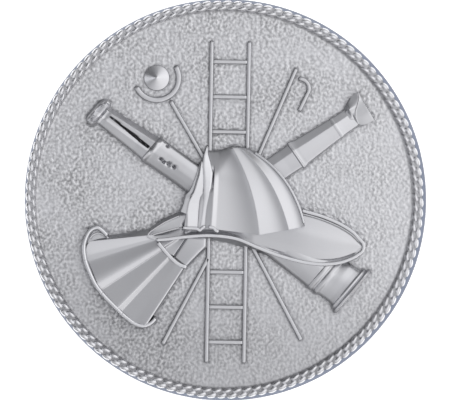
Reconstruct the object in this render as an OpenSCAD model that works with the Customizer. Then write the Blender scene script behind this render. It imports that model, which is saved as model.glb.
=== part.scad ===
// A round struck insignia pin, one inch across, that lies face up on its two clutches.
// The origin is in the middle of the surface it lies on. +Z points out of the face, and +Y
// points to the top of the emblem.

/* [Disc] */
// Diameter of the disc, across its outer edge
disc_d = 25.4; // [24:0.1:28]
// Thickness of the plate, from its back to the field
plate_t = 1.2; // [0.9:0.1:1.8]
// Width of the smooth bevel outside the rope
bevel_w = 0.22; // [0.1:0.02:0.3]

/* [Rope border] */
// Number of strands round the border
strands = 120; // [96:4:132]
// Width of the rope
rope_w = 0.58; // [0.5:0.02:0.7]
// Height of the rope above the field
rope_h = 0.42; // [0.3:0.02:0.6]

/* [Ladder and poles] */
// Distance between the middles of the ladder's rails
ladder_w = 2.36; // [2:0.02:2.6]
// Length of the rails
ladder_l = 20.4; // [19:0.1:20.8]
// Distance from rung to rung
rung_pitch = 2.21; // [2:0.01:2.4]
// Number of rungs
rungs = 9; // [7:2:9]
// Width of a rail, a rung or a pole
bar_w = 0.28; // [0.2:0.02:0.36]
// Height of the rails and poles above the field
bar_h = 0.34; // [0.2:0.02:0.5]

/* [Helmet, pipe and trumpet] */
// Height of the crown's tallest rib above the field
crown_h = 1.6; // [1.2:0.05:2]
// Height of the play pipe's first tube above the field
pipe_h = 0.75; // [0.5:0.05:1]
// Height of the trumpet's first tube above the field
trumpet_h = 0.75; // [0.5:0.05:1]
// Height of the brim's wired edge above the field
brim_h = 0.95; // [0.7:0.05:1.2]
// Width of the brim's wired edge
wire_w = 0.2; // [0.14:0.02:0.3]

/* [Posts and clutches] */
// Distance between the posts
post_gap = 12.7; // [12:0.1:13]
// Diameter of a nail
nail_d = 1; // [0.8:0.1:1.2]
// Length of a nail, from the back of the disc to its tip
nail_l = 5.6; // [5:0.1:5.6]
// Diameter of the pad that is soldered to the disc
pad_d = 4; // [3:0.1:5]
// Diameter of a clutch's flange
flange_d = 11; // [10:0.1:11.4]
// Height of a clutch
clutch_h = 5.6; // [5.4:0.1:6]
// Space for cloth between a pad's face and a flange
cloth_gap = 0.8; // [0.6:0.1:1.2]

/* [Hidden] */

// The emblem's tables are drawn for a disc of this diameter
drawn_d = 25.4;
fit = disc_d / drawn_d;

// Levels, measured up from the surface that the pin lies on
pad_t = 0.35;
solder_gap = 0.03;
back_z = clutch_h + cloth_gap + pad_t + solder_gap;
field_z = back_z + plate_t;
// How far the raised forms go down into the plate
sink = 0.3;

// Numbers of sides
round_n = 120;
arch_n = 8;
arch_foot = 12;
rope_n = 5;
rod_n = 8;
small_n = 32;

// Columns of the tables of turned forms: distance along the axis, half the width, and the height
// as a share of the first tube's height
ALONG = 0;
HALF_W = 1;
SHARE = 2;

// Ladder: its middle, and its lean from upright
ladder_mid = [0.15, -0.13];
ladder_lean = 1;

// Poles: top, the bend that the helmet hides, and foot
ring_pole = [[-3.5, 6.3], [0.15, 0], [4.8, -8.9]];
hook_pole = [[4.5, 8.35], [0.87, 0], [-4, -9.15]];

// Open ring and boss on the left pole
ring_mid = [-4.43, 7.7];
ring_r = 1.34;
ring_from = 197;
ring_to = 399;
boss_r = 0.82;
boss_h = 0.62;

// Hook on the right pole: a bow, then a straight tip
hook_mid = [4.66, 7.02];
hook_r = 0.62;
hook_from = 100;
hook_to = -38;
hook_tip = [4.62, 5.55];

// Play pipe: mouth, direction, how far its rings lean from square, and rows of ALONG, HALF_W, SHARE
pipe_start = [-7.92, 5.49];
pipe_turn = -35.3;
pipe_lean = -5;
pipe_rows = [
    [-0.55, 0.62, 0.55], [-0.38, 0.92, 0.95], [-0.1, 1.02, 1.1], [0.12, 0.98, 1.1],
    [0.32, 0.62, 0.8], [0.7, 0.67, 0.95], [4, 0.87, 1.05],
    [4.05, 0.95, 1.25], [7.2, 0.92, 1.3], [13.8, 1.28, 1.3], [17.1, 1.4, 1.3],
    [17.15, 1.49, 1.45], [17.4, 1.49, 1.45], [17.45, 1.4, 1.3], [17.55, 1.4, 1.3],
    [17.6, 1.49, 1.45], [17.85, 1.49, 1.45], [17.9, 1.38, 1.3], [19.05, 1.4, 1.3],
    [19.1, 1.74, 1.55], [19.35, 1.8, 1.6], [19.6, 1.74, 1.5]
];

// Trumpet: mouthpiece, direction, and rows of ALONG, HALF_W, SHARE as far as the bell
trumpet_start = [8.68, 5.68];
trumpet_turn = 214.3;
trumpet_rows = [
    [-0.3, 1.08, 1.15], [-0.1, 1.05, 1.25], [0.4, 0.86, 1.05], [0.82, 0.67, 0.9],
    [2, 0.69, 1], [4.9, 0.88, 1.15], [5.15, 0.9, 1.2],
    [5.2, 0.82, 1.05], [8, 0.86, 1.05], [12, 1.2, 1.1], [14.6, 1.68, 1.2]
];

// Bell: its lines from the upper outline to the lower, each as the x, y and height of its end at the
// neck and then of its end at the rim. Each flute rises to a crest and falls to a valley.
NECK = 0;
RIM = 3;
bell_lines = [
    [-4.2, -1.7, 0.4, -7.67, -2.24, 0.35],
    [-4.26, -1.86, 0.85, -8.83, -2.84, 0.95],
    [-4.26, -1.99, 0.72, -8.68, -3.69, 0.72],
    [-4.1, -2.52, 0.9, -8.42, -4.48, 0.92],
    [-3.98, -2.97, 1.05, -8.05, -5.33, 1.15],
    [-3.9, -3.1, 0.9, -7.74, -5.74, 0.86],
    [-3.75, -3.41, 0.98, -7.22, -6.37, 1],
    [-3.61, -3.68, 1, -6.75, -6.81, 1.12],
    [-3.53, -3.84, 0.86, -6.53, -7, 0.84],
    [-3.12, -4.13, 0.75, -5.77, -7.57, 0.78],
    [-2.59, -4.31, 0.4, -4.85, -7.32, 0.35]
];
neck_path = [[-4.2, -2.52], [-3.91, -3.06], [-3.57, -3.57], [-3.16, -3.94], [-2.68, -4.23]];
neck_bead_w = 0.34;
neck_bead_h = 1.15;
rim_path = [
    [-7.48, -2.21], [-8.01, -1.75], [-8.53, -1.94], [-8.85, -2.57], [-8.92, -3.16], [-8.69, -4.21],
    [-8.22, -5.26], [-7.48, -6.2], [-6.53, -7.15], [-5.79, -7.73], [-5.16, -7.91], [-4.69, -7.73],
    [-4.43, -7.46]
];
rim_bead_w = 0.32;
rim_bead_h = 1.2;

// Helmet: crest lines of the crown's four ribs, each bent from the top to the base, as
// [x, y, share of crown_h]
crown_ribs = [
    [[-0.73, 2.97, 0.45], [-0.69, 1.33, 0.95], [-0.91, -1.85, 0.8]],
    [[0.42, 3.3, 0.5], [1.3, 0.79, 1.25], [2.15, -2.2, 0.95]],
    [[0.9, 3.28, 0.5], [3.1, 1.6, 1.05], [3.98, -1.88, 0.85]],
    [[1.4, 3.12, 0.4], [4.15, 1.6, 0.4], [4.88, -1.68, 0.5]]
];
crown_rows = 8;
rib_step = 0.16;
rib_face = 0.22;
crown_edge_w = 0.1;
crown_left_w = 0.3;

// Front piece: rows from the top down, of y, left edge, ridge, valley, right edge
front_rows = [
    [3.42, -1.36, -1.2, -1.14, -1.06], [2.84, -1.58, -1.25, -1.12, -0.98],
    [2.2, -1.72, -1.35, -1.1, -0.85], [1.58, -1.88, -1.45, -1.12, -0.8],
    [0.95, -2.08, -1.55, -1.15, -0.82], [0.44, -2.3, -1.62, -1.2, -0.85],
    [0.22, -2.62, -1.66, -1.22, -0.87], [-0.65, -2.85, -1.72, -1.28, -0.95],
    [-0.82, -2.45, -1.73, -1.3, -0.97], [-1.8, -2.6, -1.8, -1.35, -1.05]
];
front_edge_h = 0.95;
front_ridge_h = 1.2;
front_valley_h = 1.02;

// Brim: rows from the left tip to the right tip, of x, foot of the near wall, near edge, far edge,
// and how high the brim is beside the crown as a share of brim_h
brim_rows = [
    [-4.88, -2.4, -2.25, -2.05, 0.8], [-4.72, -2.5, -2.2, -1.7, 0.85], [-4.4, -2.57, -2.08, -1.3, 0.95],
    [-3.75, -2.6, -1.88, -1, 1], [-2.87, -2.5, -1.85, -0.7, 1], [-1.6, -2.45, -2.08, -0.5, 1],
    [-0.4, -2.52, -2.2, -0.45, 1], [0.8, -2.88, -2.48, -0.45, 1], [2, -3.32, -2.98, -0.45, 1.05],
    [3.3, -3.7, -3.48, -0.5, 1.15], [4.75, -4.05, -3.88, -0.76, 1.25], [6, -4.2, -4.04, -1.13, 1.2],
    [7.1, -4.08, -3.9, -1.62, 1.1], [7.95, -3.76, -3.56, -2.13, 1], [8.45, -3.4, -3.2, -2.54, 0.95],
    [8.72, -3.05, -2.96, -2.82, 0.9]
];
BRIM_X = 0;
FOOT_Y = 1;
NEAR_Y = 2;
FAR_Y = 3;
BRIM_SHARE = 4;

// Clutch: flange, hub and ears
flange_t = 0.45;
lip_w = 0.5;
lip_h = 0.3;
hub_r = 2;
hub_foot_z = 0.4;
bore_foot_z = 0.7;
bore_play = 0.08;
ear_w = 5;
ear_t = 0.45;
ear_out = 1.55;
ear_mid_y = 3.1;
ear_flat = 0.06;

// A point that lies along an axis from p in direction a, and across it to the left
function on_axis(p, a, along, across) =
    [p.x + along * cos(a) - across * sin(a), p.y + along * sin(a) + across * cos(a)];

// A smooth bend through three points, at t from 0 to 1
function bend(p, t) = p[0] * pow(1 - t, 2) + p[1] * 2 * t * (1 - t) + p[2] * pow(t, 2);

// Direction of a path at its point i
function heading(path, i) =
    let (a = path[max(i - 1, 0)], b = path[min(i + 1, len(path) - 1)])
    atan2(b.y - a.y, b.x - a.x);

// Angle of an arch at its point i of n, counted from one side. Its feet stand clear of the field.
function arch_angle(i, n) = arch_foot + (180 - 2 * arch_foot) * i / n;

// A row of points over an arched bar, from its right edge to its left
function round_row(p, a, half_w, high) = [
    for (i = [0 : arch_n])
        let (t = arch_angle(i, arch_n))
        [each on_axis(p, a, 0, -half_w * cos(t) / cos(arch_foot)), high * sin(t)]
];

// An arc of n steps about mid
function arc(mid, r, from, to, n) =
    [for (i = [0 : n]) let (a = from + (to - from) * i / n) mid + r * [cos(a), sin(a)]];

// A solid under rows of points, whose third number is the height above the field. The rows run
// forwards and the points of a row to the left. Its walls and flat underside go down into the plate.
module raised(rows) {
    n = len(rows);
    m = len(rows[0]);
    low = -sink;
    function at(i, j) = i * m + j;
    edge = [
        for (i = [0 : n - 1]) at(i, 0),
        for (j = [1 : m - 1]) at(n - 1, j),
        for (i = [n - 2 : -1 : 0]) at(i, m - 1),
        for (j = [m - 2 : -1 : 1]) at(0, j)
    ];
    top = [for (row = rows) each row];
    edge_n = len(edge);
    first = n * m;
    points = concat(top, [for (k = edge) [top[k].x, top[k].y, low]]);
    faces = concat(
        [for (i = [0 : n - 2], j = [0 : m - 2]) [at(i, j), at(i, j + 1), at(i + 1, j + 1)]],
        [for (i = [0 : n - 2], j = [0 : m - 2]) [at(i, j), at(i + 1, j + 1), at(i + 1, j)]],
        [for (k = [0 : edge_n - 1]) let (l = (k + 1) % edge_n) [edge[k], edge[l], first + l]],
        [for (k = [0 : edge_n - 1]) let (l = (k + 1) % edge_n) [edge[k], first + l, first + k]],
        [[for (k = [0 : edge_n - 1]) first + k]]
    );
    translate([0, 0, field_z]) scale([fit, fit, 1]) polyhedron(points = points, faces = faces);
}

// A half-round bar along a path
module bar(path, half_w, high) {
    raised([for (i = [0 : len(path) - 1]) round_row(path[i], heading(path, i), half_w, high)]);
}

// A turned form, half sunk into the disc, from a table of ALONG, HALF_W and SHARE
module turned(start, turn, table, high, lean = 0) {
    raised([
        for (row = table)
            round_row(on_axis(start, turn, row[ALONG], 0), turn + lean, row[HALF_W], high * row[SHARE])
    ]);
}

module plate() {
    outer_r = disc_d / 2;
    rope_out_r = outer_r - bevel_w;
    edge_drop = 0.45;
    back_bevel = 0.15;
    translate([0, 0, back_z])
        rotate_extrude($fn = round_n)
            polygon([
                [0, 0], [outer_r - back_bevel, 0], [outer_r, back_bevel],
                [outer_r, plate_t - edge_drop], [rope_out_r, plate_t], [0, plate_t]
            ]);
}

// A closed ring of arched sections that lean across the rope. Every second section is the crest
// of a strand, and those between are the notches.
module rope_border() {
    edge_gap = 0.03;
    mid_r = disc_d / 2 - bevel_w - edge_gap - rope_w / 2;
    lean = 360 / strands * 0.6;
    notch = 0.5;
    sections = 2 * strands;
    loop_n = rope_n + 3;
    points = [
        for (i = [0 : sections - 1])
            let (turn = 360 * i / sections, high = rope_h * (i % 2 == 0 ? 1 : notch))
            for (j = [0 : loop_n - 1])
                let (
                    t = arch_angle(min(max(j - 1, 0), rope_n), rope_n),
                    out = cos(t) / cos(arch_foot),
                    a = turn - lean * out,
                    r = mid_r + out * rope_w / 2
                )
                [r * cos(a), r * sin(a), field_z + (j == 0 || j == loop_n - 1 ? -sink : high * sin(t))]
    ];
    function at(i, j) = (i % sections) * loop_n + j % loop_n;
    corners = [for (i = [0 : sections - 1], j = [0 : loop_n - 1]) [i, j]];
    polyhedron(
        points = points,
        faces = concat(
            [for (c = corners) [at(c.x, c.y), at(c.x, c.y + 1), at(c.x + 1, c.y + 1)]],
            [for (c = corners) [at(c.x, c.y), at(c.x + 1, c.y + 1), at(c.x + 1, c.y)]]
        )
    );
}

// A straight rod along the field, from a to b
module rod(a, b, high = bar_h) {
    hull()
        for (p = [a, b])
            translate([p.x * fit, p.y * fit, field_z - sink])
                cylinder(h = sink + high, r1 = bar_w * 0.66, r2 = bar_w * 0.28, $fn = rod_n);
}

module ladder() {
    up = 90 - ladder_lean;
    half_l = ladder_l / 2;
    function place(along, side) = on_axis(ladder_mid, up, along, side * ladder_w / 2);
    for (side = [-1, 1])
        rod(place(-half_l, side), place(half_l, side));
    for (i = [0 : rungs - 1])
        let (along = (i - (rungs - 1) / 2) * rung_pitch)
        rod(place(along, -1), place(along, 1), bar_h * 0.85);
}

// A pole, of two straight stretches
module pole(path) {
    for (i = [0, 1])
        rod(path[i], path[i + 1]);
}

module ring_and_boss() {
    pole(ring_pole);
    bar(arc(ring_mid, ring_r, ring_from, ring_to, 14), bar_w / 2, bar_h);
    translate([ring_mid.x * fit, ring_mid.y * fit, field_z - sink])
        cylinder(h = sink + boss_h * 0.35, r = boss_r, $fn = small_n);
    translate([ring_mid.x * fit, ring_mid.y * fit, field_z + boss_h * 0.35])
        cylinder(h = boss_h * 0.65, r1 = boss_r, r2 = boss_r * 0.12, $fn = small_n);
}

module hook() {
    pole(hook_pole);
    bar(concat(arc(hook_mid, hook_r, hook_from, hook_to, 8), [hook_tip]), bar_w / 2, bar_h);
}

// The bell's surface starts a little inside the tube and runs straight from the neck to the rim
module bell() {
    raised([
        for (t = [-0.2, 0, 0.5, 1])
            [
                for (line = bell_lines)
                    [for (k = [0 : 2]) line[NECK + k] * (1 - t) + line[RIM + k] * t]
            ]
    ]);
}

module trumpet() {
    turned(trumpet_start, trumpet_turn, trumpet_rows, trumpet_h);
    bell();
    bar(neck_path, neck_bead_w / 2, neck_bead_h);
    bar(rim_path, rim_bead_w / 2, rim_bead_h);
}

module play_pipe() {
    turned(pipe_start, pipe_turn, pipe_rows, pipe_h, pipe_lean);
}

// Across the crown: each panel starts at the foot of one rib's step and rises to the next crest
function crown_row(t) =
    let (ribs = [for (rib = crown_ribs) bend(rib, t)], dip = rib_step * min(1, 0.3 + 2 * t))
    concat(
        [[ribs[0].x - crown_left_w, ribs[0].y, ribs[0].z * crown_h * 0.75]],
        [
            for (k = [0 : len(ribs) - 2])
                for (w = [0, rib_face, 0.55, 0.8])
                    let (
                        p = ribs[k] * (1 - w) + ribs[k + 1] * w,
                        fall = w == 0 ? 0 : w <= rib_face ? 1 : pow((1 - w) / (1 - rib_face), 1.4)
                    )
                    [p.x, p.y, p.z * crown_h - dip * fall]
        ],
        [let (p = ribs[len(ribs) - 1]) [p.x, p.y, p.z * crown_h]],
        [let (p = ribs[len(ribs) - 1]) [p.x + crown_edge_w, p.y + crown_edge_w / 2, p.z * crown_h * 0.5]]
    );

module crown() {
    raised([for (i = [0 : crown_rows]) crown_row(i / crown_rows)]);
}

module front_piece() {
    raised([
        for (row = front_rows) [
            [row[1], row[0], front_edge_h * 0.8],
            [row[1] + 0.12, row[0], front_edge_h],
            [row[2], row[0], front_ridge_h],
            [row[3], row[0], front_valley_h],
            [row[4], row[0], front_ridge_h]
        ]
    ]);
}

// The brim's surface ends a little inside its wired edge
module brim() {
    inset = wire_w * 0.2;
    raised([
        for (row = brim_rows)
            let (near = row[NEAR_Y] + inset, far = row[FAR_Y] - inset, high = brim_h * row[BRIM_SHARE])
            [
                [row[BRIM_X], row[FOOT_Y], 0.05],
                [row[BRIM_X], near, brim_h * 0.9],
                [row[BRIM_X], near * 0.75 + far * 0.25, (brim_h + high) / 2],
                [row[BRIM_X], (near + far) / 2, high],
                [row[BRIM_X], near * 0.1 + far * 0.9, brim_h * 0.85],
                [row[BRIM_X], far, brim_h * 0.7]
            ]
    ]);
}

// Wired edge, round the near edge from the left tip to the right, and back along the far edge
module brim_wire() {
    n = len(brim_rows);
    bar(concat(
        [for (i = [3 : -1 : 1]) [brim_rows[i][BRIM_X], brim_rows[i][FAR_Y]]],
        [for (i = [0 : n - 1]) [brim_rows[i][BRIM_X], brim_rows[i][NEAR_Y]]],
        [for (i = [n - 1 : -1 : 10]) [brim_rows[i][BRIM_X], brim_rows[i][FAR_Y]]]
    ), wire_w / 2, brim_h + 0.08);
}

module helmet() {
    brim();
    brim_wire();
    crown();
    front_piece();
}

module disc() {
    color([0.7, 0.7, 0.71])
        union() {
            plate();
            rope_border();
            ladder();
            ring_and_boss();
            hook();
            play_pipe();
            trumpet();
            helmet();
        }
}

// A solder pad and its nail, pointing down from the back of the disc
module post(side) {
    tip_l = 0.8;
    top = back_z - solder_gap;
    tip_z = back_z - nail_l;
    color([0.62, 0.6, 0.56])
        translate([side * post_gap / 2, 0, 0])
            union() {
                translate([0, 0, top - pad_t]) cylinder(h = pad_t, d = pad_d, $fn = small_n);
                translate([0, 0, tip_z + tip_l])
                    cylinder(h = top - tip_z - tip_l, d = nail_d, $fn = small_n);
                translate([0, 0, tip_z]) cylinder(h = tip_l, d1 = nail_d * 0.2, d2 = nail_d, $fn = small_n);
            }
}

// One ear, a loop of spring strip seen from its end, with a narrow flat to lie on
module ear() {
    mid = ear_out - ear_flat;
    reach = clutch_h - flange_t - mid;
    inner_r = ear_out - ear_t;
    difference() {
        union() {
            translate([0, mid]) circle(r = ear_out, $fn = small_n);
            translate([-ear_out, mid]) square([2 * ear_out, reach]);
        }
        translate([-ear_out, -ear_out]) square([2 * ear_out, ear_out]);
        translate([0, ear_out]) circle(r = inner_r, $fn = small_n);
        translate([-inner_r, ear_out]) square([2 * inner_r, reach - ear_t]);
    }
}

module clutch(side) {
    flange_z = clutch_h - flange_t;
    flange_r = flange_d / 2;
    bore_r = nail_d / 2 + bore_play;
    color([0.72, 0.7, 0.66])
        translate([side * post_gap / 2, 0, 0])
            difference() {
                union() {
                    translate([0, 0, flange_z]) cylinder(h = flange_t, r = flange_r - lip_w, $fn = small_n);
                    rotate_extrude($fn = small_n)
                        polygon([
                            [flange_r - 2 * lip_w, flange_z], [flange_r - lip_w / 2, flange_z],
                            [flange_r, flange_z + lip_h], [flange_r, clutch_h],
                            [flange_r - 2 * lip_w, clutch_h]
                        ]);
                    translate([0, 0, hub_foot_z]) cylinder(h = flange_z - hub_foot_z, r = hub_r, $fn = small_n);
                    for (end = [-1, 1])
                        translate([-ear_w / 2, end * ear_mid_y, 0])
                            rotate([90, 0, 90])
                                linear_extrude(ear_w)
                                    ear();
                }
                translate([0, 0, bore_foot_z])
                    cylinder(h = clutch_h, r = bore_r, $fn = small_n);
            }
}

module post_left() { post(-1); }
module post_right() { post(1); }
module clutch_left() { clutch(-1); }
module clutch_right() { clutch(1); }

disc();
post_left();
post_right();
clutch_left();
clutch_right();
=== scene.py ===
# %% [markdown]
# # A struck collar pin
#
# This lesson dresses a small round insignia pin. On the real object a blank of brass is struck
# between two steel dies, silver plated and lightly polished. The field round the emblem keeps a
# pebbled grain, a rope runs round the border, and the emblem stands up as low relief: a ladder, two
# poles, a play pipe, a speaking trumpet and a helmet. The nails and clutches behind it come from the
# CAD model as they are and only get their metal here.
#
# Low relief could be sculpted as one height map, but then a steep wall is only as sharp as the grid.
# So each raised form is a mesh of its own that goes down into the field, as the CAD solid has it.

# %% Start from the CAD model
import math

import bmesh
import bpy
import numpy as np
from mathutils import Matrix, Vector, kdtree, noise


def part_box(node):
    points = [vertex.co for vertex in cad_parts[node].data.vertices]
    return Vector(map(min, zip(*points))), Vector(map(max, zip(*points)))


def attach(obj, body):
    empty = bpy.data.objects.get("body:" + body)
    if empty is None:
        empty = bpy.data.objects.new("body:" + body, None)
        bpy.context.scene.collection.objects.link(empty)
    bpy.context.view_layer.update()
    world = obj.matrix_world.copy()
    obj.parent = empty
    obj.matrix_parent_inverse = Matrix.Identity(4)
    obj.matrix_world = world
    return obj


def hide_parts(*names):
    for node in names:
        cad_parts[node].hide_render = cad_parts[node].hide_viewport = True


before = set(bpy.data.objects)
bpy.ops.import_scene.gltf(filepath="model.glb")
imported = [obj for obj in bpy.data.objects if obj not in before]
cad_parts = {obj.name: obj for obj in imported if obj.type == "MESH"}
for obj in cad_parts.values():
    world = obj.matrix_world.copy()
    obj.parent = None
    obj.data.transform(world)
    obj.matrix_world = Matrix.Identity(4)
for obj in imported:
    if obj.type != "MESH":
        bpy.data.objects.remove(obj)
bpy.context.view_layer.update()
scene = bpy.context.scene

MM = 0.001
PLATE_T = 1.2
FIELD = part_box("disc")[0].z / MM + PLATE_T
# A hair inside the CAD's box, which no piece may pass
HAIR = 0.0005
DISC_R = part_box("disc")[1].x / MM - HAIR
print(f"field {FIELD:.2f} mm above the surface, disc radius {DISC_R:.2f} mm")

# %% [markdown]
# ## Wires
#
# Geometry and materials are both node trees here. One class wraps an output socket, so that sums can
# be written as Python: `1 - mask` adds a Math node and links it. Any other node comes from one method
# of the tree class, which takes the node's type, its settings and the values of its sockets.


# %% A wire that can be added and multiplied
class Wire:
    def __init__(self, tree, socket):
        self.tree = tree
        self.socket = socket

    def math(self, operation, *values):
        return self.tree.node("ShaderNodeMath", {"operation": operation}, dict(enumerate(values)))

    def __add__(self, other):
        return self.math("ADD", self, other)

    def __sub__(self, other):
        return self.math("SUBTRACT", self, other)

    def __rsub__(self, other):
        return self.math("SUBTRACT", other, self)

    def __mul__(self, other):
        return self.math("MULTIPLY", self, other)

    __radd__ = __add__
    __rmul__ = __mul__


# %% A tree that makes its own nodes
class Tree:
    def __init__(self, node_tree):
        self.node_tree = node_tree

    def node(self, kind, settings=None, values=None, out=0):
        made = self.node_tree.nodes.new(kind)
        for name, value in (settings or {}).items():
            if name == "stops":
                for stop, (place, shade) in zip(made.color_ramp.elements, value):
                    stop.position = place
                    stop.color = (shade, shade, shade, 1)
            else:
                setattr(made, name, value)
        for name, value in (values or {}).items():
            for each in value if isinstance(value, list) else [value]:
                if isinstance(each, Wire):
                    self.node_tree.links.new(each.socket, made.inputs[name])
                else:
                    made.inputs[name].default_value = each
        return Wire(self, made.outputs[out]) if len(made.outputs) else made


# %% [markdown]
# ## Metals
#
# Worn silver plate isn't one grey. It is a little cooler where it is thin and a little warmer where
# it has been handled, and its gloss changes from place to place. Shade is painted into its corners
# and onto its steep walls as a darker colour and a duller gloss. That could be painted on an image,
# but two vertex attributes say it without one: one is how much painted shade a point gets, and the
# other is how far the pits are closed. A coarse noise changes colour and gloss, and a fine one makes
# the bump and the pits.
#
# The relief has a middle silver. Beads, finial, boss and rope are a lighter copy of it, a painted
# highlight where the forms stand proudest. The field's silver is pitted, and the bevel is a dark blue-grey
# copy, a painted reflection.


# %% A range of numbers and a mix of colours
def remap(tree, value, old, new, kind="LINEAR"):
    """Take a value from one range of numbers to another."""
    ends = {"From Min": old[0], "From Max": old[1], "To Min": new[0], "To Max": new[1]}
    return tree.node("ShaderNodeMapRange", {"interpolation_type": kind}, {"Value": value, **ends})


def mix(tree, factor, a, b):
    """Blend two colours, each of them a wire or three numbers."""
    a, b = (colour if isinstance(colour, Wire) else (*colour, 1) for colour in (a, b))
    values = {"Factor": factor, "A": a, "B": b}
    return tree.node("ShaderNodeMix", {"data_type": "RGBA"}, values, out="Result")


# %% Silver, nickel and brass
CLOUD_MM = 2.6
COOLER = (0.96, 0.965, 0.985)
# The dark colour of the pits and of the painted shade
PIT_AND_SHADE_DARK = (0.09, 0.09, 0.1)


def metal(name, colour, rough, grain_mm, grain_depth, shade_share=0.0, pitted=0.0):
    """Worn metal, with the size and depth of its grain in millimetres, the share of the painted shade that
    shows, and how black its pits are.
    """
    material = bpy.data.materials.new(name)
    material.use_nodes = True
    material.node_tree.nodes.clear()
    tree = Tree(material.node_tree)
    place = tree.node("ShaderNodeTexCoord", out="Object")

    def cloudy(size_mm, detail):
        values = {"Vector": place, "Scale": 1 / (size_mm * MM), "Detail": detail}
        return tree.node("ShaderNodeTexNoise", values=values)

    def attribute(title):
        return tree.node("ShaderNodeAttribute", {"attribute_name": title}, out="Fac")

    cloud = cloudy(CLOUD_MM, 3.0)
    fine = cloudy(grain_mm, 0.6 if pitted else 2.0)
    patches = remap(tree, cloud, (0.3, 0.7), (0.4, 1.0))
    pits = remap(tree, fine, (0.68, 0.32), (0.0, pitted)) * patches * (1 - attribute("worn"))
    # Painted shade: a vertex attribute darkens the colour and dulls the gloss in corners and on steep walls
    dirt = attribute("dirt") * shade_share
    clean = mix(tree, cloud, [c * t for c, t in zip(colour, COOLER)], colour)
    relief = {"Height": fine * patches, "Strength": 1.0, "Distance": grain_depth * MM}
    surface = tree.node(
        "ShaderNodeBsdfPrincipled",
        values={
            "Base Color": mix(tree, dirt + pits, clean, PIT_AND_SHADE_DARK),
            "Metallic": 1.0,
            "Roughness": cloud * 0.1 + fine * 0.06 + dirt * 0.25 + rough,
            "Normal": tree.node("ShaderNodeBump", values=relief, out="Normal"),
        },
    )
    tree.node("ShaderNodeOutputMaterial", values={"Surface": surface})
    return material


# Colour, roughness, size and depth of the grain, share of the painted shade that shows, blackness of the pits
relief_silver = metal("relief_silver", (0.85, 0.848, 0.863), 0.28, 0.12, 0.002, 1.0)
# A lighter copy of the silver: a painted highlight on the beads, finial, boss and rope
highlight_silver = metal("highlight_silver", (0.97, 0.968, 0.985), 0.24, 0.12, 0.002, 0.9)
field_silver = metal("field_silver", (0.98, 0.978, 0.99), 0.3, 0.19, 0.05, 1.0, 0.56)
# A dark blue-grey copy of the silver for the bevel: a painted reflection
reflection_bevel_silver = metal("reflection_bevel_silver", (0.17, 0.195, 0.26), 0.36, 0.2, 0.002, 1.0)
nickel = metal("nickel_plate", (0.78, 0.75, 0.7), 0.22, 0.3, 0.003)
nail_brass = metal("nail_brass", (0.72, 0.66, 0.52), 0.3, 0.15, 0.004)
print("metals:", [m.name for m in bpy.data.materials])

# %% [markdown]
# ## From rows to solids
#
# Most of the emblem is drawn as rows of points, each row a section across the form, in millimetres
# above the field. Such rows are easy to reason about, because a bright or a dark stripe of the real
# pin is one stretch of the section that leans to the light or away from it. A mesh is then a skin
# over the rows, walls that go down into the field, a floor and two ends, so it is always closed.


# %% Put a mesh in millimetres above the field in its place
pieces = []


def new_mesh(name, points, faces=(), edges=()):
    """A mesh from points, faces and edges, whose numbers may come from an array."""
    mesh = bpy.data.meshes.new(name)
    points = [[float(v) for v in point] for point in points]
    mesh.from_pydata(points, edges, [[int(k) for k in face] for face in faces])
    return mesh


def outward(mesh):
    """Turn a closed mesh the right way out if the volume that its faces enclose is negative."""
    work = bmesh.new()
    work.from_mesh(mesh)
    inside_out = work.calc_volume(signed=True) < 0
    work.free()
    if inside_out:
        mesh.flip_normals()


def seat(name, mesh, material, smooth_angle=40):
    """Make a piece of a mesh, smooth but for the edges sharper than an angle in degrees."""
    mesh.validate()
    outward(mesh)
    mesh.transform(Matrix.Translation((0, 0, FIELD * MM)) @ Matrix.Scale(MM, 4))
    mesh.shade_smooth()
    mesh.set_sharp_from_angle(angle=math.radians(smooth_angle))
    mesh.materials.clear()
    mesh.materials.append(material)
    piece = bpy.data.objects.new(name, mesh)
    scene.collection.objects.link(piece)
    pieces.append(piece)
    triangles = sum(len(p.vertices) - 2 for p in mesh.polygons)
    print(f"{name}: {triangles} triangles")
    return piece


# %% A closed form under rows of points
SINK = -0.25


def form(name, rows, material=relief_silver, smooth_angle=40):
    """A skin over the rows, with walls and a floor that lie SINK below the field."""
    rows = np.asarray(rows, float)
    n, m, _ = rows.shape
    index = np.arange(n * m).reshape(n, m)
    rim = np.r_[index[:-1, 0], index[-1, :-1], index[:0:-1, -1], index[0, :0:-1]]
    top = rows.reshape(-1, 3)
    foot = top[rim].copy()
    foot[:, 2] = SINK
    points = np.vstack([top, foot])
    faces = [
        (index[i, j], index[i, j + 1], index[i + 1, j + 1], index[i + 1, j])
        for i in range(n - 1)
        for j in range(m - 1)
    ]
    k = len(rim)
    low = n * m + np.arange(k)
    faces += [(rim[i], rim[(i + 1) % k], low[(i + 1) % k], low[i]) for i in range(k)]
    faces.append(low)
    return seat(name, new_mesh(name, points, faces), material, smooth_angle)


# %% Helpers for sections
def soften(points, times=2):
    """Cut the corners of an open line of points, each time by a quarter."""
    points = np.asarray(points, float)
    for _ in range(times):
        a, b = points[:-1], points[1:]
        cut = np.stack([a * 0.75 + b * 0.25, a * 0.25 + b * 0.75], 1).reshape(-1, points.shape[1])
        points = np.vstack([points[:1], cut, points[-1:]])
    return points


def bend(points, t):
    """A point on the curve that three points bend."""
    return sum(np.asarray(p, float) * f for p, f in zip(points, ((1 - t) ** 2, 2 * t * (1 - t), t * t)))


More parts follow.
